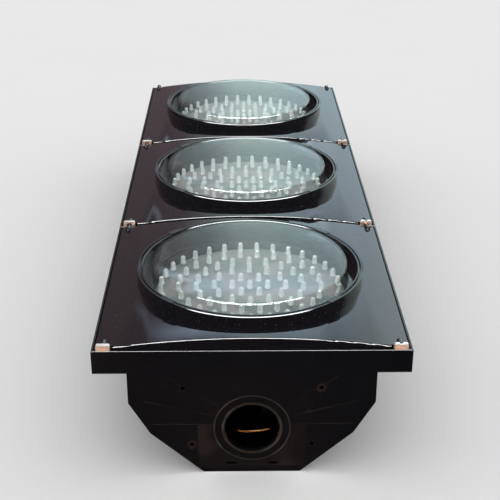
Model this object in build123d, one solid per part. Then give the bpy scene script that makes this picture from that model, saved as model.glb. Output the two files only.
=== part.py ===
from build123d import *
import os
from math import asin, cos, degrees, pi, radians, sin

# Three-section traffic signal head, lying on its back.
# +Z is the way the lenses face, Y runs along the head (-Y is the lower end), X is across it.
# The origin is in the middle of the flat back. All sizes are in millimetres.

# Sections
SECTIONS = ("lower", "middle", "upper")
PITCH = 382.0
HALF = PITCH / 2
WALL = 2.5
PAST = 1.0  # how far a cutter runs past what it cuts

# Housing cross-section, half widths and heights
BACK_HALF = 62.6
KNEE_HALF = 130.4
KNEE_Z = 60.5
BODY_HALF = 157.0
SHOULDER_Z = 106.5
RIM_HALF = 200.0
RIM_FLOOR = 150.0
RIM_TOP = 182.0
RIM_ROUND = 0.9
SHELF_WIDTH = 15.5

# Bore in each end wall, with its two rings of teeth
BORE_Z = 67.5
BORE_R = 35.0
TOOTH_COUNT = 72
TOOTH_DEPTH = 1.4
TEETH_INNER_R = 39.8
TEETH_OUTER_R = 47.0
TEETH_SINK = 2.6
BORE_PAD_R = 52.0
PAD_THICK = 3.5

# Screw holes in each end wall; the head's two outer ends are drilled out for bracket screws
SCREW_HOLES = ((77.3, 42.5), (87.6, 127.5))
SCREW_R = 2.6
BRACKET_SCREW_R = 2.8
SPOT_R = 7.0
SPOT_DEPTH = 0.8
BOSS_R = 7.8
BOSS_DEEP = 5.5

# Relief moulded into each end wall
RELIEF = 0.9
STEP_Z = 75.0
STEP_OUT = 129.0
COLUMN_HALF = 70.0
COLUMN_LOW = 9.0
RIBS = (((136.6, 109.0), (52.0, 86.5)), ((111.5, 147.0), (42.0, 101.0)))
RIB_WIDTH = 2.4
DIMPLES = ((62.6, 115.0), (72.0, 94.0))
DIMPLE_R = 3.0
DRAIN_X = 26.8
DRAIN_Z = 13.0
DRAIN_SIZE = (13.0, 3.0)
TEETH_LAND = 1.5

# Door: a bowed panel with a collar, a skirt and four corner barrels
PANEL_HALF = 195.5
PANEL_END = HALF - WALL - 1.0
PANEL_EDGE_Z = 182.5
PANEL_CROWN_Z = 198.0
PANEL_ROUND = 2.0
END_WALL_HALF = 171.0
END_WALL_LOW = 176.0
SKIRT_X = 163.0
SKIRT_Y = 181.0
SKIRT_LOW = 160.0
GASKET_PROUD = 1.5
GASKET_LOW = RIM_FLOOR + WALL + 0.3

# Hinge and catch line
HINGE_X = 185.0
HINGE_Z = 184.5
PIN_R = 2.0
PIN_RUNNING = 0.05
PIN_SHORT = 0.2
BARREL_R = 4.0
BARREL_LENGTH = 11.5
BARREL_END = HALF - 7.5
NOTCH_IN = 172.5
EAR_NOTCH = 6.5
CLIP_HALF = 8.75
CLIP_TOP = 190.0
CLIP_DEEP = 5.6
CLIP_BACK = 0.3
CLIP_ROUND = 2.2
CLIP_SLOT_HALF = 6.0
CLIP_SLOT_Z = (184.9, 187.1)
CLIP_SLOT_DEEP = 0.8
CLIP_LEG_LOW = 166.0
CATCH_GAP = 0.35
EAR_HALF = 3.9

# Collar that a visor locks onto
COLLAR_TOP = 210.2
COLLAR_OUT = 156.6
LIP_OUT_IN = 153.6
LIP_IN_OUT = 151.4
COLLAR_IN = 148.7
GROOVE_DEEP = 5.0
LEDGE_IN = 137.5
LEDGE_LOW = 187.5
LEDGE_TOP = 190.5
LUG_ANGLES = (45, 135, 225, 315)
LUG_SPAN = 8.5
LUG_RISE = 0.8
LIP_BEVEL = 0.6

# Lamp module
FLANGE_R = 145.0
GASKET_IN = 138.0
GASKET_TOP = LEDGE_LOW
LENS_FLANGE_TOP = 186.0
LENS_FLANGE_LOW = 183.0
LENS_R = 135.5
LENS_SHOULDER_R = 130.5
LENS_SHOULDER_Z = 218.5
LENS_CROWN_Z = 221.6
LENS_WALL = 2.5
NUB_R = 2.6
NUB_RISE = 0.9
CASE_FLANGE_LOW = 180.0
CASE_R = 136.0
CASE_CONE_TOP = 158.0
CASE_BACK_R = 92.0
CASE_BACK_Z = 113.0
BOARD_R = 132.0
BOARD_TOP = 170.0
BOARD_THICK = 1.6
BOARD_LEDGE_IN = 128.0
LEDS_PER_RING = (1, 6, 12, 19, 25, 32)
LED_RING_PITCH = 25.0
LED_FIRST_ANGLE = (0, 0, 90, 90, 270, 95.625)
LED_STEM_R = 1.4
LED_STEM_TOP = 172.4
LED_BASE_R = 4.2
LED_BASE_TOP = 174.2
LED_R = 3.5
LED_TOP = 184.6
DRIVER_SIZE = (104.0, 62.0, 1.6)
DRIVER_Z = 126.0
DRIVER_BOXES = (((-14, 12), (-12, 12), 18), ((34, 40), (-24, 24), 16), ((18, 28), (-22, -4), 9))
DRIVER_CANS = ((-34, 12, 7, 20), (-34, -10, 5, 14))
STANDOFF_R = 4.0
STANDOFFS = (44.0, 24.0)

# Turn clips that hold the lamp module up against the door
TURN_R = 157.5
TURN_ANGLES = (45, 135, 225, 315)
TURN_THICK = 2.7
TURN_TOP = 179.6
TURN_REACH = 11.5
TURN_HALF = 7.0
POST_R = 6.0
POST_LOW = 179.9
POST_TOP = 191.5
TURN_SCREW_R = 2.0
TURN_SCREW_HEAD_R = 4.0
TURN_SCREW_HEAD = 3.0
TURN_SCREW_DEEP = 9.0
SLOT_HALF = 0.5
SLOT_DEEP = 1.0
TURN_GAP = 0.3
TURN_RUNNING = 0.08

# Seams between sections
SEAM_BOLT_R = 2.5
SEAM_HEAD_R = 4.6
SEAM_HEAD = 4.0
SEAM_BOLT_PROUD = 1.0
GROMMET_IN = 30.5
GROMMET_FLANGE_R = 40.0
GROMMET_FLANGE = 2.5

# Wiring
LEAD_R = 3.0
GLAND_X = 30.0
GLAND_R = 7.0
GLAND_LOW = 106.0
PLUG_SIZE = (18.0, 24.0, 20.0)
PLUG_LOW = 32.0
PLUG_GAP = 0.3
PLUG_ROUND = 2.0
SOCKET_SIZE = (22.0, 30.0)
BLOCK_X = -10.0
BLOCK_Y = -110.0
BLOCK_SIZE = (96.0, 24.0, 20.0)
BLOCK_WAYS = 6
BLOCK_PITCH = 15.0
BLOCK_ROWS = (-6.0, 6.0)
BLOCK_SLIT = 1.6
BLOCK_SLIT_DEEP = 5.0
BLOCK_SCREW_R = 2.5
BLOCK_SCREW_DEEP = 2.0
BLOCK_SCREW_SINK = 0.4

# Wires from each section's socket to the terminal strip: the corner points and the bend radius
WIRE_R = 1.2
WIRES = {
    "lower": ([(30, -397, 18), (30, -432, 18), (42, -525, 33), (-34, -525, 27), (-10, -251, 45),
               (-10, -171, 45), (-32.5, -146, 10.5), (-32.5, -122, 10.5)], 28.0),
    "middle": ([(30, -15, 18), (30, -45, 18), (12.5, -70, 10.5), (12.5, -98, 10.5)], 7.0),
    "upper": ([(30, 367, 18), (30, 322, 18), (8, 241, 45), (8, 141, 45), (-17.5, 60, 10.5),
               (-17.5, -98, 10.5)], 28.0),
}


def turned(points):
    """Solid of revolution about Z from (radius, height) points."""
    return revolve(Plane.XZ * make_face(Polyline(*points, close=True)), Axis.Z)


def block(x, y, z):
    """Box between the (low, high) pairs x, y and z."""
    size = Box(x[1] - x[0], y[1] - y[0], z[1] - z[0])
    return Pos((x[0] + x[1]) / 2, (y[0] + y[1]) / 2, (z[0] + z[1]) / 2) * size


def rod_y(x, z, radius, y):
    """Round bar along Y between the (low, high) pair y."""
    return Pos(x, (y[0] + y[1]) / 2, z) * Rot(90, 0, 0) * Cylinder(radius, y[1] - y[0])


def rod_z(x, y, radius, z):
    """Round bar along Z between the (low, high) pair z."""
    return Pos(x, y, (z[0] + z[1]) / 2) * Cylinder(radius, z[1] - z[0])


def both_sides(solid):
    """The solid and its mirror image across the middle plane X = 0."""
    return solid + mirror(solid, Plane.YZ)


def both_ends(solid):
    """The solid and its mirror image across the section's middle plane Y = 0."""
    return solid + mirror(solid, Plane.XZ)


def at_sections(solid):
    """Copies of a section's solid, one for each section."""
    shift = [(k - 1) * PITCH for k in range(len(SECTIONS))]
    return Compound([Pos(0, y, 0) * solid_copy for y in shift for solid_copy in solid.solids()])


# Housing

def housing_face(top):
    """Outer cross-section of a housing, closed at the height top."""
    half = [(BACK_HALF, 0), (KNEE_HALF, KNEE_Z), (BODY_HALF, SHOULDER_Z)]
    half += [(BODY_HALF, RIM_FLOOR), (RIM_HALF, RIM_FLOOR), (RIM_HALF, top)]
    points = half + [(-x, z) for x, z in reversed(half)]
    return Plane.XZ * make_face(Polyline(*points, close=True))


def toothed_disc(radius, depth, thick):
    """Disc with TOOTH_COUNT pointed teeth, standing up from Z = 0."""
    points = []
    for k in range(2 * TOOTH_COUNT):
        angle = pi * k / TOOTH_COUNT
        r = radius + depth * (k % 2)
        points.append((r * cos(angle), r * sin(angle)))
    return extrude(make_face(Polyline(*points, close=True)), thick)


def tooth_groove():
    """Ring-shaped groove in the +Y end wall, toothed on both sides."""
    outer = toothed_disc(TEETH_OUTER_R, TOOTH_DEPTH, TEETH_SINK)
    inner = toothed_disc(TEETH_INNER_R, -TOOTH_DEPTH, TEETH_SINK)
    return Pos(0, HALF, BORE_Z) * Rot(90, 0, 0) * (outer - inner)


def rib_bar(start, end):
    """Slim straight bar on the +Y end wall's outer face between two (x, z) points."""
    x0, z0 = start
    x1, z1 = end
    line = Line((x0, z0), (x1, z1))
    face = Plane.XZ * Pos((x0 + x1) / 2, (z0 + z1) / 2) * Rot(0, 0, line.tangent_angle_at(0))
    face = face * Rectangle(line.length, RIB_WIDTH)
    return Pos(0, HALF, 0) * extrude(face, RELIEF)


def end_relief():
    """Everything sunk into the +Y end wall's outer face."""
    low = block((-COLUMN_HALF, COLUMN_HALF), (HALF - RELIEF, HALF), (COLUMN_LOW, STEP_Z))
    step = block((COLUMN_HALF - PAST, STEP_OUT), (HALF - RELIEF, HALF), (STEP_Z - RIB_WIDTH, STEP_Z))
    sides = step
    for start, end in RIBS:
        sides += rib_bar(start, end)
    for x, z in DIMPLES:
        sides += rod_y(x, z, DIMPLE_R, (HALF - RELIEF, HALF))
    for x, z in SCREW_HOLES:
        sides += rod_y(x, z, SPOT_R, (HALF - SPOT_DEPTH, HALF))
    rim = rod_y(0, BORE_Z, TEETH_OUTER_R + TOOTH_DEPTH + TEETH_LAND, (HALF - RELIEF, HALF))
    return low + both_sides(sides) - rim


def end_holes(screw_r):
    """Everything that goes right through the +Y end wall."""
    deep = (HALF - 3 * BOSS_DEEP, HALF + PAST)
    holes = rod_y(0, BORE_Z, BORE_R, deep)
    side = block((DRAIN_X - DRAIN_SIZE[0] / 2, DRAIN_X + DRAIN_SIZE[0] / 2), deep,
                 (DRAIN_Z - DRAIN_SIZE[1] / 2, DRAIN_Z + DRAIN_SIZE[1] / 2))
    for x, z in SCREW_HOLES:
        side += rod_y(x, z, screw_r, deep)
    return holes + both_sides(side)


def hinge_ear():
    """Ear on the rim's +Y end that holds the pin end; the +X one is open at the top."""
    y = (HALF - WALL, HALF)
    ear = block((HINGE_X - EAR_HALF, HINGE_X + EAR_HALF), y, (RIM_TOP - PAST, HINGE_Z))
    ear += rod_y(HINGE_X, HINGE_Z, EAR_HALF, y)
    cut_y = (HALF - 2 * WALL, HALF + PAST)
    closed = mirror(ear, Plane.YZ) - rod_y(-HINGE_X, HINGE_Z, PIN_R, cut_y)
    slot_half = PIN_R + CATCH_GAP
    slot = block((HINGE_X - slot_half, HINGE_X + slot_half), cut_y, (HINGE_Z, CLIP_TOP))
    slot += rod_y(HINGE_X, HINGE_Z, slot_half, cut_y)
    return closed + (ear - slot)


def housing(section):
    """One section's shell: body, wide rim, end walls, shelves and ears."""
    shell = extrude(housing_face(RIM_TOP), HALF, both=True)
    shell = fillet(shell.edges().group_by(Axis.Z)[-1], RIM_ROUND)
    hollow = offset(housing_face(RIM_TOP + WALL), -WALL, kind=Kind.INTERSECTION)
    shell -= extrude(hollow, HALF - WALL, both=True)
    shelf = block((-BODY_HALF, BODY_HALF), (HALF - SHELF_WIDTH, HALF - WALL), (RIM_FLOOR, RIM_FLOOR + WALL))
    pads = rod_y(0, BORE_Z, BORE_PAD_R, (HALF - WALL - PAD_THICK, HALF - WALL))
    bosses = [rod_y(x, z, BOSS_R, (HALF - WALL - BOSS_DEEP, HALF - WALL)) for x, z in SCREW_HOLES]
    for boss in bosses:
        pads += both_sides(boss)
    shell += both_ends(shelf + pads)
    low_r = BRACKET_SCREW_R if section == SECTIONS[0] else SCREW_R
    high_r = BRACKET_SCREW_R if section == SECTIONS[-1] else SCREW_R
    shell -= both_ends(end_relief() + tooth_groove())
    shell -= end_holes(high_r) + mirror(end_holes(low_r), Plane.XZ)
    return shell + hinge_ear()


# Door

def bowed_face(top_drop, bottom_z=None):
    """Cross-section under the bowed panel's top face, lowered by top_drop."""
    edge = PANEL_EDGE_Z - top_drop
    crown = PANEL_CROWN_Z - top_drop
    top = ThreePointArc((-PANEL_HALF, edge), (0, crown), (PANEL_HALF, edge))
    if bottom_z is None:
        base = ThreePointArc((-PANEL_HALF, edge - WALL), (0, crown - WALL), (PANEL_HALF, edge - WALL))
        low = edge - WALL
    else:
        base = Line((-PANEL_HALF, bottom_z), (PANEL_HALF, bottom_z))
        low = bottom_z
    sides = [Line((x, edge), (x, low)) for x in (-PANEL_HALF, PANEL_HALF)]
    return Plane.XZ * make_face([top, base] + sides)


def collar():
    """Ring that the visor locks onto, with the inner ledge that the lamp seals against."""
    floor = COLLAR_TOP - GROOVE_DEEP
    low = PANEL_EDGE_Z
    points = [(LEDGE_IN, LEDGE_LOW), (COLLAR_IN + WALL, LEDGE_LOW), (COLLAR_IN + WALL, low)]
    points += [(COLLAR_OUT, low), (COLLAR_OUT, COLLAR_TOP - LIP_BEVEL), (COLLAR_OUT - LIP_BEVEL, COLLAR_TOP)]
    points += [(LIP_OUT_IN, COLLAR_TOP), (LIP_OUT_IN, floor), (LIP_IN_OUT, floor)]
    points += [(LIP_IN_OUT, COLLAR_TOP), (COLLAR_IN + LIP_BEVEL, COLLAR_TOP)]
    points += [(COLLAR_IN, COLLAR_TOP - LIP_BEVEL)]
    points += [(COLLAR_IN, LEDGE_TOP), (LEDGE_IN, LEDGE_TOP)]
    ring = turned(points)
    lug_in = COLLAR_IN + LUG_RISE
    lug_out = COLLAR_OUT + LUG_RISE
    lug_top = COLLAR_TOP + LUG_RISE
    points = [(lug_in, floor - PAST), (lug_out, floor - PAST), (lug_out, lug_top), (lug_in, lug_top)]
    lug = revolve(Plane.XZ * make_face(Polyline(*points, close=True)), Axis.Z, LUG_SPAN)
    for angle in LUG_ANGLES:
        ring += Rot(0, 0, angle - LUG_SPAN / 2) * lug
    return ring


def door_barrel():
    """Round barrel on the door's +X +Y corner that takes a pin."""
    return rod_y(HINGE_X, HINGE_Z, BARREL_R, (BARREL_END - BARREL_LENGTH, BARREL_END))


def door():
    """One section's door: panel, end walls, skirt, barrels, collar and clip posts."""
    panel = extrude(bowed_face(0), PANEL_END, both=True)
    panel = fillet(panel.edges().filter_by(GeomType.CIRCLE).group_by(Axis.Z)[-1], PANEL_ROUND)
    trim = extrude(bowed_face(WALL / 2, SKIRT_LOW - PAST), PANEL_END, both=True)
    end_wall = block((-END_WALL_HALF, END_WALL_HALF), (PANEL_END - WALL, PANEL_END),
                     (END_WALL_LOW, PANEL_CROWN_Z))
    skirt = block((-SKIRT_X, SKIRT_X), (-SKIRT_Y, SKIRT_Y), (SKIRT_LOW, PANEL_CROWN_Z))
    skirt -= block((WALL - SKIRT_X, SKIRT_X - WALL), (WALL - SKIRT_Y, SKIRT_Y - WALL),
                   (0, PANEL_CROWN_Z + PAST))
    notch = block((NOTCH_IN, RIM_HALF), (-HALF, -BARREL_END), (0, CLIP_TOP + PAST))
    notch += block((HINGE_X - EAR_NOTCH, RIM_HALF), (BARREL_END, HALF), (0, CLIP_TOP + PAST))
    shell = panel - both_sides(notch) + ((both_ends(end_wall) + skirt) & trim)
    for angle in TURN_ANGLES:
        shell += Rot(0, 0, angle) * rod_z(TURN_R, 0, POST_R, (POST_LOW, POST_TOP))
    shell -= rod_z(0, 0, COLLAR_IN + WALL / 2, (SKIRT_LOW, PANEL_CROWN_Z + PAST))
    shell += both_ends(both_sides(door_barrel()))
    shell += collar()
    for x, radius in ((-HINGE_X, PIN_R + PIN_RUNNING), (HINGE_X, PIN_R)):
        shell -= both_ends(rod_y(x, HINGE_Z, radius, (BARREL_END - BARREL_LENGTH - PAST, HALF)))
    for angle in TURN_ANGLES:
        hole = rod_z(TURN_R, 0, TURN_SCREW_R, (POST_LOW - PAST, POST_LOW + TURN_SCREW_DEEP))
        shell -= Rot(0, 0, angle) * hole
    return shell.solid()


def door_gasket():
    """Rubber frame on the bottom edge of the door's skirt."""
    out_x = SKIRT_X + GASKET_PROUD
    out_y = SKIRT_Y + GASKET_PROUD
    in_x = SKIRT_X - WALL - GASKET_PROUD
    in_y = SKIRT_Y - WALL - GASKET_PROUD
    z = (GASKET_LOW, SKIRT_LOW)
    frame = block((-out_x, out_x), (-out_y, out_y), z)
    return frame - block((-in_x, in_x), (-in_y, in_y), (0, SKIRT_LOW + PAST))


def pin_pair(x):
    """Two pins at x, from inside a barrel to its clip and to its ear."""
    start = BARREL_END - BARREL_LENGTH
    near = rod_y(x, HINGE_Z, PIN_R, (-HALF + CLIP_DEEP / 2, -start))
    far = rod_y(x, HINGE_Z, PIN_R, (start, HALF - PIN_SHORT))
    return Compound([near, far])


def hinge_pins():
    """Two hinge pins at -X; they sit tight in the clip and the ear, and the door turns on them."""
    return pin_pair(-HINGE_X)


def catch_pins():
    """Two catch pins at +X, fixed in the door; they drop into the open clip and ear."""
    return pin_pair(HINGE_X)


def corner_clip():
    """Formed brass clip at the -X -Y corner, with a leg down inside the rim."""
    y = (-HALF + CLIP_BACK, -HALF + CLIP_BACK + CLIP_DEEP)
    x = (-HINGE_X - CLIP_HALF, -HINGE_X + CLIP_HALF)
    head = block(x, y, (RIM_TOP, CLIP_TOP))
    head = fillet(head.edges().filter_by(Axis.Y), CLIP_ROUND)
    slot = block((-HINGE_X - CLIP_SLOT_HALF, -HINGE_X + CLIP_SLOT_HALF),
                 (y[0] - PAST, y[0] + CLIP_SLOT_DEEP), CLIP_SLOT_Z)
    leg = block(x, (-HALF + WALL, y[1]), (CLIP_LEG_LOW, RIM_TOP + PAST))
    return head + leg - slot


def corner_clips():
    """The closed hinge clip and the open catch clip of one section."""
    bore = (-HALF + CLIP_DEEP / 2, -HALF + CLIP_DEEP + PAST)
    hinge = corner_clip() - rod_y(-HINGE_X, HINGE_Z, PIN_R, bore)
    half = PIN_R + CATCH_GAP
    deep = (bore[0] - CATCH_GAP, bore[1])
    slot = rod_y(HINGE_X, HINGE_Z, half, deep)
    slot += block((HINGE_X - half, HINGE_X + half), deep, (HINGE_Z, CLIP_TOP + PAST))
    catch = mirror(corner_clip(), Plane.YZ) - slot
    return Compound([hinge.solid(), catch.solid()])


# Lamp module

def crown_arc(rim_r, rim_z, crown_z):
    """Arc from the axis at crown_z out to rim_r at rim_z, with its centre on the axis."""
    rise = crown_z - rim_z
    radius = (rim_r ** 2 + rise ** 2) / (2 * rise)
    half_angle = degrees(asin(rim_r / radius))
    return CenterArc((0, crown_z - radius), radius, 90 - half_angle, half_angle)


def lens_face(inset):
    """Half cross-section under the lens's outer face, moved in by inset."""
    r = LENS_R - inset
    shoulder_z = LENS_SHOULDER_Z - inset
    crown_z = LENS_CROWN_Z - inset
    corner = LENS_R - LENS_SHOULDER_R - inset / 2
    bend_r = r - corner * (1 - cos(pi / 4))
    bend_z = shoulder_z - corner * (1 - sin(pi / 4))
    low = LENS_FLANGE_LOW - (PAST if inset else 0)
    edges = [Line((0, low), (r, low)), Line((r, low), (r, shoulder_z - corner))]
    edges += [ThreePointArc((r, shoulder_z - corner), (bend_r, bend_z), (r - corner, shoulder_z))]
    edges += [crown_arc(r - corner, shoulder_z, crown_z)]
    edges += [Line((0, crown_z), (0, low))]
    return Plane.XZ * make_face(edges)


def lens():
    """Clear cap: flange, straight skirt, rounded shoulder, nearly flat crown and a gate nub."""
    cap = revolve(lens_face(0), Axis.Z)
    cap += rod_z(0, 0, FLANGE_R, (LENS_FLANGE_LOW, LENS_FLANGE_TOP))
    cap += rod_z(0, 0, NUB_R, (LENS_CROWN_Z - PAST, LENS_CROWN_Z + NUB_RISE))
    return cap - revolve(lens_face(LENS_WALL), Axis.Z)


def lens_gasket():
    """Flat rubber ring between the lens flange and the door's ledge."""
    ring = Cylinder(FLANGE_R, GASKET_TOP - LENS_FLANGE_TOP) - Cylinder(GASKET_IN, 2 * WALL)
    return Pos(0, 0, (GASKET_TOP + LENS_FLANGE_TOP) / 2) * ring


def module_case():
    """Back case of the lamp module, with a ledge for the board, standoffs and a gland."""
    top = LENS_FLANGE_LOW
    inner = CASE_R - WALL
    ledge = BOARD_TOP - BOARD_THICK
    points = [(0, CASE_BACK_Z), (CASE_BACK_R, CASE_BACK_Z), (CASE_R, CASE_CONE_TOP)]
    points += [(CASE_R, CASE_FLANGE_LOW), (FLANGE_R, CASE_FLANGE_LOW), (FLANGE_R, top)]
    points += [(inner, top), (inner, ledge)]
    points += [(BOARD_LEDGE_IN, ledge), (BOARD_LEDGE_IN, ledge - WALL), (inner, ledge - 3 * WALL)]
    points += [(inner, CASE_CONE_TOP + WALL / 2), (CASE_BACK_R - WALL / 2, CASE_BACK_Z + WALL)]
    points += [(0, CASE_BACK_Z + WALL)]
    case = turned(points)
    standoff_top = DRIVER_Z - DRIVER_SIZE[2] / 2
    for x in (-STANDOFFS[0], STANDOFFS[0]):
        for y in (-STANDOFFS[1], STANDOFFS[1]):
            case += rod_z(x, y, STANDOFF_R, (CASE_BACK_Z, standoff_top))
    case += rod_z(GLAND_X, 0, GLAND_R, (GLAND_LOW, CASE_BACK_Z))
    return case - rod_z(GLAND_X, 0, LEAD_R, (GLAND_LOW - PAST, CASE_BACK_Z + WALL + PAST))


def led_board():
    """Round circuit board that carries the lamps."""
    return rod_z(0, 0, BOARD_R, (BOARD_TOP - BOARD_THICK, BOARD_TOP))


def led():
    """One lamp: short stem, wide base, round body and domed tip."""
    shoulder = LED_TOP - LED_R
    side = Polyline((0, LED_TOP), (0, BOARD_TOP), (LED_STEM_R, BOARD_TOP), (LED_STEM_R, LED_STEM_TOP),
                    (LED_BASE_R, LED_STEM_TOP), (LED_BASE_R, LED_BASE_TOP), (LED_R, LED_BASE_TOP),
                    (LED_R, shoulder))
    edges = side.edges() + [CenterArc((0, shoulder), LED_R, 0, 90)]
    return revolve(Plane.XZ * make_face(edges), Axis.Z)


def leds():
    """All lamps of one board, in rings."""
    one = led()
    lamps = []
    for ring, count in enumerate(LEDS_PER_RING):
        for k in range(count):
            angle = radians(LED_FIRST_ANGLE[ring] + 360 * k / count)
            radius = ring * LED_RING_PITCH
            lamps.append(Pos(radius * cos(angle), radius * sin(angle), 0) * one)
    return Compound([lamp.solid() for lamp in lamps])


def driver_board():
    """Power board with its transformer, capacitors and heat sink, as one solid."""
    size_x, size_y, thick = DRIVER_SIZE
    top = DRIVER_Z + thick / 2
    board = Pos(0, 0, DRIVER_Z) * Box(size_x, size_y, thick)
    for x, y, height in DRIVER_BOXES:
        board += block(x, y, (top, top + height))
    for x, y, radius, height in DRIVER_CANS:
        board += rod_z(x, y, radius, (top, top + height))
    return board


# Turn clips

def turn_clip(angle):
    """Metal turn button that holds the module flange up; it swings about its screw."""
    z = (TURN_TOP - TURN_THICK, TURN_TOP)
    clip = rod_z(TURN_R, 0, TURN_HALF, z) + rod_z(TURN_R - TURN_REACH, 0, TURN_HALF, z)
    clip += block((TURN_R - TURN_REACH, TURN_R), (-TURN_HALF, TURN_HALF), z)
    clip -= rod_z(TURN_R, 0, TURN_SCREW_R + TURN_RUNNING, (z[0] - PAST, z[1] + PAST))
    return Rot(0, 0, angle) * clip


def turn_screws():
    """The four screws that the turn clips swing on."""
    head_top = TURN_TOP - TURN_THICK - TURN_GAP
    screw = rod_z(TURN_R, 0, TURN_SCREW_R, (head_top, POST_LOW + TURN_SCREW_DEEP))
    screw += rod_z(TURN_R, 0, TURN_SCREW_HEAD_R, (head_top - TURN_SCREW_HEAD, head_top))
    low = head_top - TURN_SCREW_HEAD
    screw -= block((TURN_R - TURN_SCREW_HEAD, TURN_R + TURN_SCREW_HEAD), (-SLOT_HALF, SLOT_HALF),
                   (low - PAST, low + SLOT_DEEP))
    return Compound([(Rot(0, 0, angle) * screw).solid() for angle in TURN_ANGLES])


# Seams

def seam_places():
    """(x, z) of the four bolts in a seam."""
    return [(side * x, z) for x, z in SCREW_HOLES for side in (-1, 1)]


def seam_bolts():
    """Bolts that pull neighbouring sections together."""
    reach = WALL + BOSS_DEEP
    bolts = []
    for seam in (-HALF, HALF):
        for x, z in seam_places():
            bolt = rod_y(x, z, SEAM_BOLT_R, (seam - reach, seam + reach + SEAM_HEAD + SEAM_BOLT_PROUD))
            head = Pos(x, seam - reach - SEAM_HEAD / 2, z) * Rot(90, 0, 0)
            bolt += head * extrude(RegularPolygon(SEAM_HEAD_R, 6), SEAM_HEAD / 2, both=True)
            bolts.append(bolt.solid())
    return Compound(bolts)


def seam_nuts():
    """Nuts on the seam bolts."""
    reach = WALL + BOSS_DEEP
    nuts = []
    for seam in (-HALF, HALF):
        for x, z in seam_places():
            place = Pos(x, seam + reach + SEAM_HEAD / 2, z) * Rot(90, 0, 0)
            nut = place * extrude(RegularPolygon(SEAM_HEAD_R, 6), SEAM_HEAD / 2, both=True)
            nut -= rod_y(x, z, SEAM_BOLT_R, (seam, seam + 3 * reach))
            nuts.append(nut.solid())
    return Compound(nuts)


def seam_grommets():
    """Rubber grommets that line the joined bores and guard the wires."""
    reach = WALL + PAD_THICK
    grommets = []
    for seam in (-HALF, HALF):
        tube = rod_y(0, BORE_Z, BORE_R, (seam - reach, seam + reach))
        tube += rod_y(0, BORE_Z, GROMMET_FLANGE_R, (seam + reach, seam + reach + GROMMET_FLANGE))
        tube += rod_y(0, BORE_Z, GROMMET_FLANGE_R, (seam - reach - GROMMET_FLANGE, seam - reach))
        tube -= rod_y(0, BORE_Z, GROMMET_IN, (seam - 3 * reach, seam + 3 * reach))
        grommets.append(tube.solid())
    return Compound(grommets)


# Wiring

def pipe(points, corner, radius):
    """Round wire along straight runs joined by arcs of the radius corner."""
    path = FilletPolyline(*points, radius=corner)
    start = Plane(origin=path @ 0, z_dir=path % 0)
    return sweep(start * Circle(radius), path=path)


def module_lead():
    """The lamp module's own lead, from its gland down to a moulded plug."""
    lead = rod_z(GLAND_X, 0, LEAD_R, (PLUG_LOW + PLUG_SIZE[2], CASE_BACK_Z + WALL))
    plug = block((GLAND_X - PLUG_SIZE[0] / 2, GLAND_X + PLUG_SIZE[0] / 2),
                 (-PLUG_SIZE[1] / 2, PLUG_SIZE[1] / 2), (PLUG_LOW + PLUG_GAP, PLUG_LOW + PLUG_SIZE[2]))
    return lead + fillet(plug.edges().filter_by(Axis.Z), PLUG_ROUND)


def lead_sockets():
    """Sockets on the back wall that the modules' plugs push into, one for each section."""
    socket = block((GLAND_X - SOCKET_SIZE[0] / 2, GLAND_X + SOCKET_SIZE[0] / 2),
                   (-SOCKET_SIZE[1] / 2, SOCKET_SIZE[1] / 2), (WALL, PLUG_LOW))
    return at_sections(fillet(socket.edges().filter_by(Axis.Z), PLUG_ROUND))


def terminal_places():
    """(x, y) of the terminal screws."""
    ways = [BLOCK_X + (k + 0.5 - BLOCK_WAYS / 2) * BLOCK_PITCH for k in range(BLOCK_WAYS)]
    return [(x, BLOCK_Y + row) for x in ways for row in BLOCK_ROWS]


def terminal_block():
    """Screw terminal strip in the middle section, where the street cable is joined."""
    x = (BLOCK_X - BLOCK_SIZE[0] / 2, BLOCK_X + BLOCK_SIZE[0] / 2)
    y = (BLOCK_Y - BLOCK_SIZE[1] / 2, BLOCK_Y + BLOCK_SIZE[1] / 2)
    top = WALL + BLOCK_SIZE[2]
    strip = block(x, y, (WALL, top))
    for k in range(1, BLOCK_WAYS):
        cut_x = BLOCK_X + (k - BLOCK_WAYS / 2) * BLOCK_PITCH
        strip -= block((cut_x - BLOCK_SLIT / 2, cut_x + BLOCK_SLIT / 2), y,
                       (top - BLOCK_SLIT_DEEP, top + PAST))
    for x_way, y_row in terminal_places():
        strip -= rod_z(x_way, y_row, BLOCK_SCREW_R, (top - BLOCK_SCREW_DEEP, top + PAST))
    return strip


def terminal_screws():
    """Slotted screws of the terminal strip."""
    top = WALL + BLOCK_SIZE[2] - BLOCK_SCREW_SINK
    low = WALL + BLOCK_SIZE[2] - BLOCK_SCREW_DEEP
    screws = []
    for x, y in terminal_places():
        screw = rod_z(x, y, BLOCK_SCREW_R, (low, top))
        slot = block((x - BLOCK_SCREW_R, x + BLOCK_SCREW_R), (y - SLOT_HALF, y + SLOT_HALF),
                     (top - SLOT_DEEP, top + PAST))
        screws.append((screw - slot).solid())
    return Compound(screws)


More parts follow.
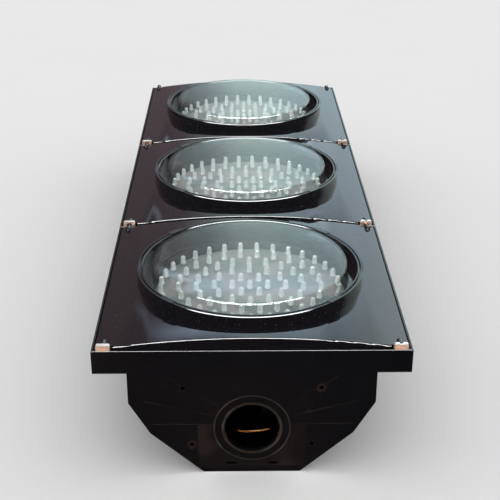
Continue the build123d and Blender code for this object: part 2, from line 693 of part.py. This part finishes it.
def main():
    os.makedirs("parts", exist_ok=True)
    made = {"door": door(), "door_gasket": door_gasket(), "lens": lens(),
            "lens_gasket": lens_gasket(), "module_case": module_case(), "led_board": led_board(),
            "leds": leds(), "driver_board": driver_board(), "catch_pins": catch_pins(),
            "turn_screws": turn_screws(), "module_lead": module_lead()}
    for number, angle in enumerate(TURN_ANGLES, 1):
        made[f"turn_clip_{number}"] = turn_clip(angle)
    for k, section in enumerate(SECTIONS):
        made["housing"] = housing(section)
        for name, solid in made.items():
            export_step(Pos(0, (k - 1) * PITCH, 0) * solid, f"parts/{name}_{section}.step")
    shared = {"hinge_pins": at_sections(hinge_pins()), "corner_clips": at_sections(corner_clips()),
              "seam_bolts": seam_bolts(), "seam_nuts": seam_nuts(), "seam_grommets": seam_grommets(),
              "lead_sockets": lead_sockets(), "terminal_block": terminal_block(),
              "terminal_screws": terminal_screws()}
    for section, (points, bend) in WIRES.items():
        shared[f"harness_{section}"] = pipe(points, bend, WIRE_R)
    for name, solid in shared.items():
        export_step(solid, f"parts/{name}.step")


main()
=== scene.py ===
from math import cos, pi, radians, sin

import bmesh
import bpy
from mathutils import Matrix, Vector


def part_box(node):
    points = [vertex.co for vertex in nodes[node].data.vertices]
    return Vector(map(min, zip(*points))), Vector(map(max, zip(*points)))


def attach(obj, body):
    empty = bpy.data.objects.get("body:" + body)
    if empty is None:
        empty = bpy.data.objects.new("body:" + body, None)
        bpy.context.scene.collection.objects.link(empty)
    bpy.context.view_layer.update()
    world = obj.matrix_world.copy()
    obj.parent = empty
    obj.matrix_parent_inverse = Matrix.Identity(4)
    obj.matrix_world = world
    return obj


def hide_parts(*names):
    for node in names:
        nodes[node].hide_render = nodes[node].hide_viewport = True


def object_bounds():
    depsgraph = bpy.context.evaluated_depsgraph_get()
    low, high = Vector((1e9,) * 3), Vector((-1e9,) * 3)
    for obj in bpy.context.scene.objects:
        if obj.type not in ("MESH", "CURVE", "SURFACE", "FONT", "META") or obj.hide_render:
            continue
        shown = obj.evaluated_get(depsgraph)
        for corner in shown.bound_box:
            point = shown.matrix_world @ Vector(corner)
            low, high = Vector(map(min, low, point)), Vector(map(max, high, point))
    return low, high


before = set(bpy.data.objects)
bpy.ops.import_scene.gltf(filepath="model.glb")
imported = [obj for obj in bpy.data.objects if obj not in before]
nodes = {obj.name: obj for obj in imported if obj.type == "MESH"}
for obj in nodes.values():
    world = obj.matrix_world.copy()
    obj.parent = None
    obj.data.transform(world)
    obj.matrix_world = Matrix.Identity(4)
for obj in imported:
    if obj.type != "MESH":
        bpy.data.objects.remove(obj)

cad_low, cad_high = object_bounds()
SECTIONS = ("lower", "middle", "upper")


# ---- Housings ----
# Three moulded black polycarbonate shells, bolted end to end. Semi-gloss skin with a faint
# moulding texture, a painted warm brown reflection in the end walls' recesses, a painted warm
# highlight on the ring of teeth around the bore, and a little settled dust.

class Wire:
    """One node output, with Python's operators as Math nodes."""

    def __init__(self, shader, socket):
        self.shader = shader
        self.socket = socket

    def math(self, operation, other=None, swap=False):
        pair = [other, self] if swap else [self, other]
        values = {k: v for k, v in enumerate(pair) if v is not None}
        return self.shader.add("ShaderNodeMath", dict(operation=operation), values)

    def __add__(self, other):
        return self.math("ADD", other)

    def __radd__(self, other):
        return self.math("ADD", other, swap=True)

    def __sub__(self, other):
        return self.math("SUBTRACT", other)

    def __rsub__(self, other):
        return self.math("SUBTRACT", other, swap=True)

    def __mul__(self, other):
        return self.math("MULTIPLY", other)

    def __gt__(self, other):
        return self.math("GREATER_THAN", other)


class Finish:
    """A material under construction, with one Principled surface shader."""

    def __init__(self, name, **constants):
        self.material = bpy.data.materials.new(name)
        self.material.use_nodes = True
        self.tree = self.material.node_tree
        self.tree.nodes.clear()
        self.out = self.tree.nodes.new("ShaderNodeOutputMaterial")
        self.surface = self.tree.nodes.new("ShaderNodeBsdfPrincipled")
        self.tree.links.new(self.surface.outputs[0], self.out.inputs[0])
        for socket, value in constants.items():
            self.feed(socket.replace("_", " "), value)

    def feed(self, socket, value, node=None):
        """Sets or links one socket of the surface shader, or of another node."""
        target = (node or self.surface).inputs[socket]
        if isinstance(value, Wire):
            self.tree.links.new(value.socket, target)
        else:
            target.default_value = value

    def add(self, kind, settings=None, values=None, output=0):
        """Makes one node, sets its settings and input values, and returns one output."""
        node = self.tree.nodes.new(kind)
        for name, value in (settings or {}).items():
            if name == "stops":
                ramp = node.color_ramp
                ramp.elements[0].position, ramp.elements[0].color = value[0]
                ramp.elements[-1].position, ramp.elements[-1].color = value[-1]
                for place, colour in value[1:-1]:
                    ramp.elements.new(place).color = colour
            else:
                setattr(node, name, value)
        for socket, value in (values or {}).items():
            self.feed(socket, value, node)
        return Wire(self, node.outputs[output])

    def place(self):
        """The point on the piece, in metres, in its own frame."""
        return self.add("ShaderNodeTexCoord", output=3)

    def part_of(self, vector, axis):
        return self.add("ShaderNodeSeparateXYZ", values={0: vector}, output=axis)

    def noise(self, scale, detail=3.0, roughness=0.5):
        return self.add("ShaderNodeTexNoise", values={
            "Vector": self.place(), "Scale": scale, "Detail": detail, "Roughness": roughness})

    def spread(self, value, low, high, out_low, out_high):
        """Maps low..high of value to out_low..out_high, clamped."""
        ends = {1: low, 2: high, 3: out_low, 4: out_high}
        return self.add("ShaderNodeMapRange", values={0: value, **ends})

    def blend(self, factor, first, second):
        """Colour mix of two colours by factor."""
        values = {0: factor, 6: first, 7: second}
        return self.add("ShaderNodeMix", dict(data_type="RGBA"), values, output=2)

    def bump(self, height, strength, distance):
        settings = {"Height": height, "Strength": strength, "Distance": distance}
        self.feed("Normal", self.add("ShaderNodeBump", values=settings))


def give(material, *names):
    """Puts one material on carried-over CAD nodes."""
    for name in names:
        mesh = nodes[name].data
        mesh.materials.clear()
        mesh.materials.append(material)


def per_section(name):
    return [f"{name}_{section}" for section in SECTIONS]


BORE_HEIGHT = 0.0675
BORE_RIM = 0.0355
TEETH_RIM = 0.0495
RIM_FADE = 0.0005
SKIN_DEPTH = (0.0002, 0.0004)
RECESS_DEPTH = (0.0014, 0.0018)


def moulded_black():
    finish = Finish("moulded_black", IOR=1.5)
    dust = finish.spread(finish.noise(38.0, 5.0, 0.6), 0.48, 0.75, 0.0, 1.0)
    up = finish.part_of(finish.add("ShaderNodeNewGeometry", output=1), 2)
    settled = dust * finish.spread(up, 0.4, 1.0, 0.12, 1.0)
    skin = finish.blend(settled * 0.35, (0.0045, 0.0045, 0.006, 1), (0.035, 0.035, 0.037, 1))
    x, y, z = [finish.part_of(finish.place(), axis) for axis in range(3)]
    depth = cad_high[1] - y.math("ABSOLUTE")
    # Mask of the end walls' recesses, where a warm brown reflection is painted.
    recess_reflection = finish.spread(depth, *SKIN_DEPTH, 0.0, 1.0) * finish.spread(depth, *RECESS_DEPTH, 1.0, 0.0)
    level = z - BORE_HEIGHT
    radius = (x * x + level * level).math("SQRT")
    toothed = finish.spread(radius, BORE_RIM, BORE_RIM + RIM_FADE, 0.0, 1.0)
    toothed = toothed * finish.spread(radius, TEETH_RIM, TEETH_RIM + RIM_FADE, 1.0, 0.0)
    # Mask of the faces of the teeth around the bore, where a warm highlight is painted.
    teeth_highlight = toothed * finish.spread(depth, *SKIN_DEPTH, 1.0, 0.0)
    reflection_streaks = finish.spread(finish.noise(22.0, 2.0), 0.42, 0.62, 0.25, 1.0)
    # Painted reflection: the recesses get a lighter warm brown, broken into streaks.
    skin = finish.blend(recess_reflection * reflection_streaks, skin, (0.020, 0.014, 0.012, 1))
    # Painted highlight: the teeth get a brighter warm brown, in the same streaks.
    finish.feed("Base Color", finish.blend(teeth_highlight * reflection_streaks, skin, (0.085, 0.065, 0.052, 1)))
    shine = finish.spread(finish.noise(60.0, 4.0), 0.3, 0.7, 0.13, 0.2)
    finish.feed("Roughness", shine + settled * 0.12)
    grain = finish.noise(1900.0, 2.0) + finish.noise(14.0, 2.0) * 3.0
    finish.bump(grain, 0.05, 0.0006)
    return finish.material


give(moulded_black(), *per_section("housing"))


# ---- Doors ----
# One bowed door per section, moulded in the same black polycarbonate but polished: it mirrors
# the room, with faint sink waves from the mould, hairline scratches and specks of dust.

def polished_black():
    finish = Finish("polished_black", IOR=1.52)
    specks = finish.spread(finish.noise(520.0, 1.0, 0.4), 0.7, 0.76, 0.0, 1.0)
    haze = finish.spread(finish.noise(9.0, 4.0, 0.6), 0.35, 0.75, 0.0, 1.0)
    colour = finish.blend(specks * 0.5, (0.007, 0.006, 0.008, 1), (0.09, 0.085, 0.08, 1))
    finish.feed("Base Color", colour)
    finish.feed("Roughness", 0.045 + haze * 0.05 + specks * 0.3)
    waves = finish.noise(11.0, 1.0)
    stretch = {"Vector": finish.place(), "Scale": (60.0, 900.0, 60.0)}
    across = finish.add("ShaderNodeMapping", values=stretch)
    settings = {"Vector": across, "Scale": 1.0, "Detail": 2.0}
    hairs = finish.add("ShaderNodeTexNoise", values=settings)
    scratch = finish.spread(hairs, 0.62, 0.72, 0.0, 0.02)
    finish.bump(waves + scratch, 0.12, 0.0012)
    return finish.material


give(polished_black(), *per_section("door"))


# ---- Lenses ----
# Clear moulded polycarbonate caps with a faint cool tint, deeper where seen edge on.

def see_through(name, tint, rim_tint, shine, haze, ripple, metallic):
    """Thin clear plastic: mostly let through, with a mirror shine that grows towards the edges."""
    finish = Finish(name, Base_Color=(0.96, 1.0, 0.99, 1), Specular_IOR_Level=0.8)
    tree = finish.tree
    edge = finish.add("ShaderNodeLayerWeight", values={"Blend": 0.35}, output=1)
    colour = finish.blend(finish.spread(edge, 0.5, 1.0, 0.0, 1.0), tint, rim_tint)
    through = finish.add("ShaderNodeBsdfTransparent", values={0: colour})
    finish.feed("Roughness", finish.spread(finish.noise(30.0, 4.0, 0.65), 0.55, 0.85, 0.0, 0.06))
    finish.feed("Metallic", metallic)
    finish.bump(finish.noise(ripple, 1.0), 0.1, 0.001)
    facing = finish.add("ShaderNodeLayerWeight", values={"Blend": 0.5}, output=1)
    glance = facing.math("POWER", 5.0) * 0.96 + 0.04
    mix = tree.nodes.new("ShaderNodeMixShader")
    finish.feed(0, glance * shine + haze, mix)
    tree.links.new(through.socket, mix.inputs[1])
    tree.links.new(finish.surface.outputs[0], mix.inputs[2])
    tree.links.new(mix.outputs[0], finish.out.inputs[0])
    return finish.material


cap_tints = (0.975, 0.985, 0.98, 1), (0.80, 0.88, 0.86, 1)
clear_cap = see_through("clear_cap", *cap_tints, shine=0.7, haze=0.0, ripple=16.0, metallic=1.0)
give(clear_cap, *per_section("lens"))


# ---- Lamps ----
# 95 clear LEDs on each board, in rings: a domed epoxy body on a wide base, and inside it the
# silver cup on its post, two legs and the solder. One lamp is turned from outlines, and a node
# tree repeats it around each ring.

LAMP_RINGS = ((1, 0.0), (6, 0.0), (12, 90.0), (19, 90.0), (25, 270.0), (32, 95.625))
RING_PITCH = 0.025
LAMP_R = 0.0035
LAMP_BASE_R = 0.0042
LAMP_BASE_RISE = 0.0024
BODY_STEPS = 20
LEG_X = 0.00127
LEG = [(0.0, 0.0050), (0.0003, 0.0050), (0.0003, 0.0006), (0.0008, 0.0001), (0.0009, 0.0), (0.0, 0.0)]
CUP = [(0.0, -0.0012), (0.0006, -0.0012), (0.0016, 0.0), (0.0019, 0.0), (0.0011, -0.0018), (0.0005, -0.0022)]
CUP_DROP = 0.0012
POST_RISE = 0.0030
INSIDE_STEPS = 12
LAMP_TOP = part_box("leds_middle")[1][2]
BOARD_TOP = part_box("led_board_middle")[1][2]


def turned(outlines, steps):
    """Mesh of solids turned about upright axes; an outline is (axis x, [(radius, height), ...])."""
    shape = bmesh.new()
    for centre, outline in outlines:
        rings = []
        for r, z in outline:
            count = steps if r else 1
            angles = [2 * pi * k / count for k in range(count)]
            rings.append([shape.verts.new((centre + r * cos(a), r * sin(a), z)) for a in angles])
        for upper, lower in zip(rings, rings[1:]):
            for k in range(steps):
                corners = [upper[k % len(upper)], lower[k % len(lower)],
                           lower[(k + 1) % len(lower)], upper[(k + 1) % len(upper)]]
                shape.faces.new(dict.fromkeys(corners))
    mesh = bpy.data.meshes.new("turned")
    shape.to_mesh(mesh)
    shape.free()
    for face in mesh.polygons:
        face.use_smooth = True
    return mesh


def lamp_body():
    shoulder = LAMP_TOP - LAMP_R
    dome = [(LAMP_R * sin(radians(a)), shoulder + LAMP_R * cos(radians(a))) for a in range(0, 91, 15)]
    low = BOARD_TOP + LAMP_BASE_RISE
    sides = [(LAMP_R, low + 0.0020), (LAMP_BASE_R, low + 0.0017), (LAMP_BASE_R, low + 0.0002)]
    underside = [(LAMP_BASE_R - 0.0003, low), (0.0, low)]
    return turned([(0.0, dome + sides + underside)], BODY_STEPS)


def lamp_inside():
    cup = LAMP_TOP - LAMP_R - CUP_DROP
    foot = BOARD_TOP + POST_RISE
    post = [(r, cup + rise) for r, rise in CUP] + [(CUP[-1][0], foot), (0.0, foot)]
    leg = [(r, BOARD_TOP + rise) for r, rise in LEG]
    return turned([(0.0, post), (-LEG_X, leg), (LEG_X, leg)], INSIDE_STEPS)


def ring_tree():
    tree = bpy.data.node_groups.new("lamp_rings", "GeometryNodeTree")
    face = tree.interface
    face.new_socket("Geometry", in_out="INPUT", socket_type="NodeSocketGeometry")
    pitch = face.new_socket("Ring Pitch", in_out="INPUT", socket_type="NodeSocketFloat")
    pitch.default_value = RING_PITCH
    face.new_socket("Material", in_out="INPUT", socket_type="NodeSocketMaterial")
    face.new_socket("Geometry", in_out="OUTPUT", socket_type="NodeSocketGeometry")
    start = tree.nodes.new("NodeGroupInput")
    end = tree.nodes.new("NodeGroupOutput")
    join = tree.nodes.new("GeometryNodeJoinGeometry")
    for ring, (count, first) in enumerate(LAMP_RINGS):
        if ring:
            circle = tree.nodes.new("GeometryNodeMeshCircle")
            circle.inputs["Vertices"].default_value = count
            radius = tree.nodes.new("ShaderNodeMath")
            radius.operation = "MULTIPLY"
            radius.inputs[1].default_value = ring
            tree.links.new(start.outputs["Ring Pitch"], radius.inputs[0])
            tree.links.new(radius.outputs[0], circle.inputs["Radius"])
        else:
            circle = tree.nodes.new("GeometryNodePoints")
        turn = tree.nodes.new("GeometryNodeTransform")
        turn.inputs["Rotation"].default_value = (0.0, 0.0, radians(first))
        tree.links.new(circle.outputs[0], turn.inputs["Geometry"])
        tree.links.new(turn.outputs[0], join.inputs[0])
    repeat = tree.nodes.new("GeometryNodeInstanceOnPoints")
    real = tree.nodes.new("GeometryNodeRealizeInstances")
    paint = tree.nodes.new("GeometryNodeSetMaterial")
    tree.links.new(join.outputs[0], repeat.inputs["Points"])
    tree.links.new(start.outputs["Geometry"], repeat.inputs["Instance"])
    tree.links.new(repeat.outputs[0], real.inputs[0])
    tree.links.new(real.outputs[0], paint.inputs["Geometry"])
    tree.links.new(start.outputs["Material"], paint.inputs["Material"])
    tree.links.new(paint.outputs[0], end.inputs[0])
    return tree


def repeated(name, mesh, tree, material, place):
    """A plain mesh piece made by a node tree from one mesh, then moved to its place."""
    piece = bpy.data.objects.new(name, mesh)
    bpy.context.scene.collection.objects.link(piece)
    modifier = piece.modifiers.new("repeat", "NODES")
    modifier.node_group = tree
    for item in tree.interface.items_tree:
        if item.name == "Material" and item.in_out == "INPUT":
            modifier[item.identifier] = material
    ready = piece.evaluated_get(bpy.context.evaluated_depsgraph_get())
    piece.data = bpy.data.meshes.new_from_object(ready)
    piece.modifiers.clear()
    piece.data.transform(Matrix.Translation(place))
    return piece


def bright_plate():
    finish = Finish("bright_plate", Metallic=1.0)
    dull = finish.spread(finish.noise(900.0, 2.0), 0.4, 0.7, 0.0, 1.0)
    finish.feed("Base Color", finish.blend(dull, (0.92, 0.93, 0.92, 1), (0.62, 0.64, 0.64, 1)))
    finish.feed("Roughness", 0.2 + dull * 0.2)
    finish.bump(finish.noise(2000.0, 2.0), 0.1, 0.0002)
    return finish.material


def lamps():
    tree = ring_tree()
    tints = (0.93, 0.97, 0.965, 1), (0.60, 0.70, 0.68, 1)
    epoxy = see_through("clear_epoxy", *tints, shine=1.0, haze=0.55, ripple=200.0, metallic=0.0)
    plate = bright_plate()
    for section in SECTIONS:
        low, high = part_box(f"led_board_{section}")
        centre = ((low[0] + high[0]) / 2, (low[1] + high[1]) / 2, 0.0)
        bodies = repeated(f"lamp_bodies_{section}", lamp_body(), tree, epoxy, centre)
        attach(bodies, f"door_{section}")
        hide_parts(f"leds_{section}")
        inside = repeated(f"lamp_insides_{section}", lamp_inside(), tree, plate, centre)
        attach(inside, f"door_{section}")


lamps()


# ---- Lamp boards ----
# Pale solder mask in two greys, with small bright solder spots.

def pale_board():
    finish = Finish("pale_board", IOR=1.45)
    patches = finish.spread(finish.noise(24.0, 2.0), 0.45, 0.55, 0.0, 1.0)
    settings = {"Vector": finish.place(), "Scale": 80.0}
    cells = finish.add("ShaderNodeTexVoronoi", dict(feature="F1"), settings)
    spots = finish.spread(cells, 0.0, 0.12, 1.0, 0.0)
    mask = finish.blend(patches, (0.20, 0.235, 0.23, 1), (0.31, 0.29, 0.295, 1))
    finish.feed("Base Color", finish.blend(spots, mask, (0.62, 0.63, 0.63, 1)))
    finish.feed("Roughness", 0.42 - spots * 0.2)
    finish.bump(spots + patches * 0.3, 0.2, 0.0005)
    return finish.material


give(pale_board(), *per_section("led_board"))


# ---- Corner clips and terminal screws ----
# Copper-toned plated brass, with darker tarnish in patches and a painted highlight along the upper edge.

# Heights of the clips' upper edge, where a pale highlight is painted.
CLIP_HIGHLIGHT_HEIGHTS = (0.1888, 0.1896)


def copper_plate():
    finish = Finish("copper_plate", Metallic=0.35)
    tarnish = finish.spread(finish.noise(160.0, 4.0, 0.6), 0.5, 0.72, 0.0, 1.0)
    height = finish.part_of(finish.place(), 2)
    # Painted highlight: a pale band at the clips' upper edge.
    edge_highlight = finish.spread(height, *CLIP_HIGHLIGHT_HEIGHTS, 0.0, 1.0)
    face = finish.blend(tarnish, (0.95, 0.66, 0.50, 1), (0.62, 0.33, 0.22, 1))
    finish.feed("Base Color", finish.blend(edge_highlight, face, (0.93, 0.88, 0.82, 1)))
    finish.feed("Roughness", 0.24 + tarnish * 0.2)
    finish.bump(finish.noise(900.0, 2.0), 0.08, 0.0003)
    return finish.material


give(copper_plate(), "corner_clips", "terminal_screws")


# ---- Steel: pins, bolts, nuts, turn clips and their screws ----
# Bright zinc plate, faintly mottled.

def zinc_plate():
    finish = Finish("zinc_plate", Metallic=1.0)
    mottle = finish.spread(finish.noise(90.0, 3.0), 0.3, 0.7, 0.0, 1.0)
    finish.feed("Base Color", finish.blend(mottle, (0.50, 0.51, 0.53, 1), (0.68, 0.68, 0.67, 1)))
    finish.feed("Roughness", 0.28 + mottle * 0.14)
    finish.bump(finish.noise(1500.0, 2.0), 0.06, 0.0002)
    return finish.material


steel = ["hinge_pins", "seam_bolts", "seam_nuts"] + per_section("catch_pins") + per_section("turn_screws")
for number in range(1, 5):
    steel += per_section(f"turn_clip_{number}")
give(zinc_plate(), *steel)


# ---- Rubber: door gaskets, lens gaskets, grommets and lead jackets ----
# Matt black extruded rubber with a dusty bloom.

def black_rubber():
    finish = Finish("black_rubber", Specular_IOR_Level=0.3)
    bloom = finish.spread(finish.noise(70.0, 4.0, 0.6), 0.4, 0.7, 0.0, 1.0)
    finish.feed("Base Color", finish.blend(bloom, (0.010, 0.010, 0.010, 1), (0.028, 0.027, 0.026, 1)))
    finish.feed("Roughness", 0.62 + bloom * 0.2)
    finish.bump(finish.noise(1200.0, 3.0), 0.12, 0.0003)
    return finish.material


rubber = ["seam_grommets"] + per_section("door_gasket")
rubber += per_section("lens_gasket") + per_section("module_lead")
give(black_rubber(), *rubber)


# ---- Module cases ----
# Satin dark grey nylon bowls behind the lamps.

def satin_case():
    finish = Finish("satin_case", IOR=1.48)
    cloud = finish.spread(finish.noise(20.0, 3.0), 0.3, 0.7, 0.0, 1.0)
    finish.feed("Base Color", finish.blend(cloud, (0.030, 0.031, 0.033, 1), (0.045, 0.046, 0.048, 1)))
    finish.feed("Roughness", 0.4 + cloud * 0.1)
    finish.bump(finish.noise(1400.0, 2.0), 0.1, 0.0003)
    return finish.material


give(satin_case(), *per_section("module_case"))


# ---- Driver boards ----
# Green solder mask below, grey and black parts above.

MASK_TOP = (0.1270, 0.1272)
LOW_PARTS_TOP = (0.1385, 0.1390)


def driver_parts():
    finish = Finish("driver_parts", Roughness=0.4)
    height = finish.part_of(finish.place(), 2)
    part = finish.spread(height, *MASK_TOP, 0.0, 1.0)
    tall = finish.spread(height, *LOW_PARTS_TOP, 0.0, 1.0)
    grey = finish.blend(tall, (0.03, 0.03, 0.032, 1), (0.45, 0.45, 0.44, 1))
    finish.feed("Base Color", finish.blend(part, (0.012, 0.09, 0.035, 1), grey))
    finish.bump(finish.noise(300.0, 2.0), 0.1, 0.0003)
    return finish.material


give(driver_parts(), *per_section("driver_board"))


# ---- Connectors ----
# Off-white moulded nylon terminal strip and sockets.

def white_nylon():
    finish = Finish("white_nylon", IOR=1.5, Subsurface_Weight=0.05)
    age = finish.spread(finish.noise(25.0, 3.0), 0.35, 0.7, 0.0, 1.0)
    finish.feed("Base Color", finish.blend(age, (0.72, 0.71, 0.67, 1), (0.62, 0.58, 0.49, 1)))
    finish.feed("Roughness", 0.42 + age * 0.1)
    finish.bump(finish.noise(800.0, 2.0), 0.06, 0.0003)
    return finish.material


give(white_nylon(), "terminal_block", "lead_sockets")


# ---- Wires ----
# PVC-insulated wires, one colour for each section; the lower one is in a black sleeve except
# at its loop behind the bore.

def insulation(name, bright, dull, sleeve=None):
    finish = Finish(name, IOR=1.5, Coat_Weight=0.3)
    wear = finish.spread(finish.noise(120.0, 3.0), 0.45, 0.7, 0.0, 1.0)
    colour = finish.blend(wear, bright, dull)
    if sleeve is not None:
        inner = finish.part_of(finish.place(), 1) > sleeve
        colour = finish.blend(inner, colour, (0.01, 0.01, 0.01, 1))
    finish.feed("Base Color", colour)
    finish.feed("Roughness", 0.25 + wear * 0.15)
    finish.bump(finish.noise(600.0, 2.0), 0.05, 0.0003)
    return finish.material


LOOP = 0.004
loop_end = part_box("harness_lower")[0][1] + LOOP
orange = insulation("orange_insulation", (0.95, 0.38, 0.06, 1), (0.75, 0.25, 0.03, 1), loop_end)
yellow = insulation("yellow_insulation", (0.85, 0.65, 0.06, 1), (0.65, 0.48, 0.04, 1))
red = insulation("red_insulation", (0.65, 0.03, 0.02, 1), (0.45, 0.02, 0.02, 1))
give(orange, "harness_lower")
give(yellow, "harness_middle")
give(red, "harness_upper")


# ---- Round edges ----
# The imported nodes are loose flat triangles; this joins them for shading, so that turned and
# bowed faces look round, and leaves every edge sharper than the given angle crisp.

CREASE_ANGLE = 0.6
MERGE_DISTANCE = 2e-6


def smoothing_tree():
    tree = bpy.data.node_groups.new("round_shading", "GeometryNodeTree")
    tree.interface.new_socket("Geometry", in_out="INPUT", socket_type="NodeSocketGeometry")
    crease = tree.interface.new_socket("Crease Angle", in_out="INPUT", socket_type="NodeSocketFloat")
    crease.default_value = CREASE_ANGLE
    tree.interface.new_socket("Geometry", in_out="OUTPUT", socket_type="NodeSocketGeometry")
    start = tree.nodes.new("NodeGroupInput")
    end = tree.nodes.new("NodeGroupOutput")
    join = tree.nodes.new("GeometryNodeMergeByDistance")
    join.inputs["Distance"].default_value = MERGE_DISTANCE
    angle = tree.nodes.new("GeometryNodeInputMeshEdgeAngle")
    sharp = tree.nodes.new("FunctionNodeCompare")
    sharp.operation = "LESS_EQUAL"
    faces = tree.nodes.new("GeometryNodeSetShadeSmooth")
    edges = tree.nodes.new("GeometryNodeSetShadeSmooth")
    edges.domain = "EDGE"
    links = tree.links
    links.new(start.outputs["Geometry"], join.inputs["Geometry"])
    links.new(join.outputs["Geometry"], faces.inputs["Geometry"])
    links.new(faces.outputs["Geometry"], edges.inputs["Geometry"])
    links.new(angle.outputs["Unsigned Angle"], sharp.inputs[0])
    links.new(start.outputs["Crease Angle"], sharp.inputs[1])
    links.new(sharp.outputs[0], edges.inputs["Shade Smooth"])
    links.new(edges.outputs["Geometry"], end.inputs["Geometry"])
    return tree


round_shading = smoothing_tree()
for node in nodes.values():
    modifier = node.modifiers.new("round_shading", "NODES")
    modifier.node_group = round_shading


# ---- Studio ----
# A plain pale floor under an even sky. In reflections the sky is a dim room: brown on the left,
# cool grey on the right, a tall pale window straight ahead and a strip light above the camera.

EVEN = 1.0
STRIP = 45.0
WALL_STOPS = [
    (0.0, (0.26, 0.19, 0.21, 1)), (0.34, (0.28, 0.22, 0.24, 1)), (0.44, (0.6, 0.7, 0.75, 1)),
    (0.50, (1.1, 1.35, 1.35, 1)), (0.56, (1.2, 1.5, 1.5, 1)), (0.64, (1.1, 1.4, 1.5, 1)),
    (0.80, (1.2, 1.5, 1.7, 1)), (1.0, (1.7, 1.9, 1.9, 1))]
WALL_HALF_WIDTH = 0.35
WALL_RISE = (0.05, 0.75)
STRIP_RISE = (0.74, 0.96)
SHELF_RISE = (0.485, 0.53)
FLOOR_SIZE = 14.0


def floor():
    size = FLOOR_SIZE
    mesh = bpy.data.meshes.new("floor")
    corners = [(-size, -size, 0), (size, -size, 0), (size, size, 0), (-size, size, 0)]
    mesh.from_pydata(corners, [], [(0, 1, 2, 3)])
    piece = bpy.data.objects.new("floor", mesh)
    bpy.context.scene.collection.objects.link(piece)
    finish = Finish("pale_floor", Roughness=0.9, Specular_IOR_Level=0.0)
    shade = finish.blend(finish.noise(3.0), (0.80, 0.80, 0.80, 1), (0.82, 0.82, 0.82, 1))
    finish.feed("Base Color", shade)
    mesh.materials.append(finish.material)
    piece.visible_glossy = False


class Room(Finish):
    """The sky's nodes, built with the same operators as a material's."""

    def __init__(self, name):
        world = bpy.data.worlds.new(name)
        bpy.context.scene.world = world
        world.use_nodes = True
        self.tree = world.node_tree
        self.tree.nodes.clear()
        self.out = self.tree.nodes.new("ShaderNodeOutputWorld")
        self.surface = self.tree.nodes.new("ShaderNodeBackground")
        self.tree.links.new(self.surface.outputs[0], self.out.inputs[0])

    def window(self, value, low, high, soft):
        """1 where value is between low and high, fading over soft at both ends."""
        rising = self.spread(value, low - soft, low + soft, 0.0, 1.0)
        return rising * self.spread(value, high - soft, high + soft, 1.0, 0.0)


def sky():
    room = Room("studio")
    direction = room.add("ShaderNodeTexCoord", output=0)
    x, y, z = [room.part_of(direction, axis) for axis in range(3)]
    across = room.spread(x, -WALL_HALF_WIDTH, WALL_HALF_WIDTH, 0.0, 1.0)
    wall = room.add("ShaderNodeValToRGB", dict(stops=WALL_STOPS), {0: across})
    ahead = room.window(z, *WALL_RISE, 0.05) * room.spread(y, 0.2, 0.4, 0.0, 1.0)
    strip = room.window(z, *STRIP_RISE, 0.02) * room.window(x, -0.8, 0.8, 0.05)
    strip = strip * room.spread(y, -0.1, 0.0, 1.0, 0.0)
    settings = {"Vector": direction, "Scale": 5.0, "Detail": 3.0}
    patches = room.spread(room.add("ShaderNodeTexNoise", values=settings), 0.5, 0.7, 0.0, 1.0)
    facing_us = room.spread(y, -0.85, -0.6, 1.0, 0.0)
    below = room.blend(patches * facing_us, (0.01, 0.008, 0.008, 1), (0.6, 0.34, 0.2, 1))
    dim = room.blend(room.spread(z, -0.05, 0.05, 0.0, 1.0), below, (0.22, 0.24, 0.26, 1))
    shelf = room.window(z, *SHELF_RISE, 0.02) * room.window(x, -0.16, 0.16, 0.06)
    seen = room.blend(ahead, dim, room.blend(shelf, wall, (1.5, 1.9, 2.4, 1)))
    seen = room.blend(strip, seen, (STRIP, STRIP, STRIP, 1))
    mirrored = room.add("ShaderNodeLightPath", output=3)
    room.feed("Color", room.blend(mirrored, (EVEN, EVEN, EVEN, 1), seen))


floor()
sky()


# ---- Camera ----
# Stands beyond the lower end and looks down along the head.

CAMERA_PLACE = (-0.02362, -1.70344, 0.8478)
CAMERA_YAW = 1.024
CAMERA_PITCH = 25.042
CAMERA_ROLL = 0.208
FOCAL_LENGTH = 76.1
SENSOR_WIDTH = 36.0
CLIP_END = 60.0


def camera():
    yaw = radians(CAMERA_YAW)
    pitch = radians(CAMERA_PITCH)
    roll = radians(CAMERA_ROLL)
    aim = Vector((sin(yaw) * cos(pitch), cos(yaw) * cos(pitch), -sin(pitch)))
    level = aim.cross(Vector((0, 0, 1))).normalized()
    upright = level.cross(aim)
    right = level * cos(roll) + upright * sin(roll)
    up = upright * cos(roll) - level * sin(roll)
    lens = bpy.data.cameras.new("camera")
    lens.lens = FOCAL_LENGTH
    lens.sensor_width = SENSOR_WIDTH
    lens.clip_end = CLIP_END
    piece = bpy.data.objects.new("camera", lens)
    bpy.context.scene.collection.objects.link(piece)
    turn = Matrix((right, up, -aim)).transposed()
    piece.matrix_world = Matrix.Translation(CAMERA_PLACE) @ turn.to_4x4()
    bpy.context.scene.camera = piece


camera()
bpy.context.scene.view_settings.view_transform = "Standard"
